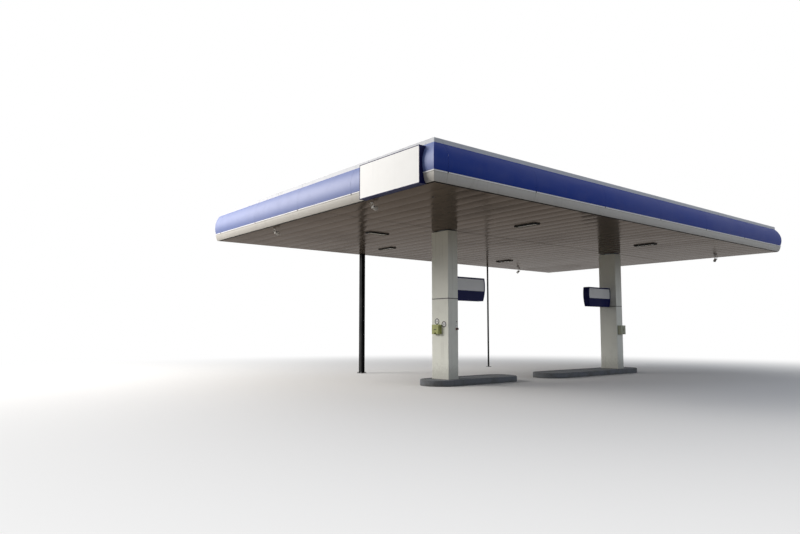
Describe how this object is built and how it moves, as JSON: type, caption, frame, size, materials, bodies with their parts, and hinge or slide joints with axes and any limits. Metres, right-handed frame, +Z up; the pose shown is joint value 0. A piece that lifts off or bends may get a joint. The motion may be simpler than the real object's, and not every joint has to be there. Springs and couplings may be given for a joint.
{
  "type": "filling station canopy",
  "caption": "Flat filling station canopy with a curved blue fascia, a metal tray soffit with lamps, clad columns on kerbed islands and rear posts beside a wall.",
  "frame": {"origin": "middle of the footprint on the ground", "axes": "+X to the right along the long front, +Y towards the rear wall, +Z up"},
  "size_m": [17.943, 10.916, 5.555],
  "materials": {
    "concrete": "cast, matt",
    "galvanised": "galvanised, dull",
    "casing": "satin powder coat",
    "lower_band": "satin powder coat",
    "top_trim": "satin powder coat",
    "fascia_blue": "gloss coat",
    "dark_paint": "satin paint",
    "soffit": "gloss coil coat",
    "lens": "opal",
    "sign_face": "gloss",
    "sign_dark": "satin paint",
    "box_green": "gloss"
  },
  "bodies": {
    "root": {"island_left": "concrete", "island_right": "concrete", "column_steel_left": "galvanised", "column_steel_right": "galvanised", "column_skirts": "casing", "casing_lower_left": "casing", "casing_lower_right": "casing", "casing_upper_left": "casing", "casing_upper_right": "casing", "wall_post": "dark_paint", "round_post": "dark_paint", "main_girders": "galvanised", "edge_rail": "galvanised", "purlins": "galvanised", "roof_deck": "galvanised", "rain_gutter": "galvanised", "parapet_flashing": "galvanised", "fascia_ribs": "galvanised", "bullnose_front": "fascia_blue", "bullnose_right": "fascia_blue", "bullnose_back": "fascia_blue", "bullnose_left": "fascia_blue", "lower_band_front": "lower_band", "lower_band_right": "lower_band", "lower_band_back": "lower_band", "lower_band_left": "lower_band", "top_trim_front": "top_trim", "top_trim_right": "top_trim", "top_trim_back": "top_trim", "top_trim_left": "top_trim", "wall_flashing": "top_trim", "soffit_edge_angle": "dark_paint", "soffit_rails": "galvanised", "soffit_front": "soffit", "soffit_rear": "soffit", "soffit_lamps": "dark_paint", "lamp_lenses": "lens", "edge_spotlights": "top_trim", "sign_board_case": "sign_dark", "sign_board_face": "sign_face", "column_sign_left": "sign_dark", "column_sign_right": "sign_dark", "column_sign_panels": "sign_face", "towel_boxes": "box_green", "round_plates": "sign_face"}
  },
  "joints": []
}
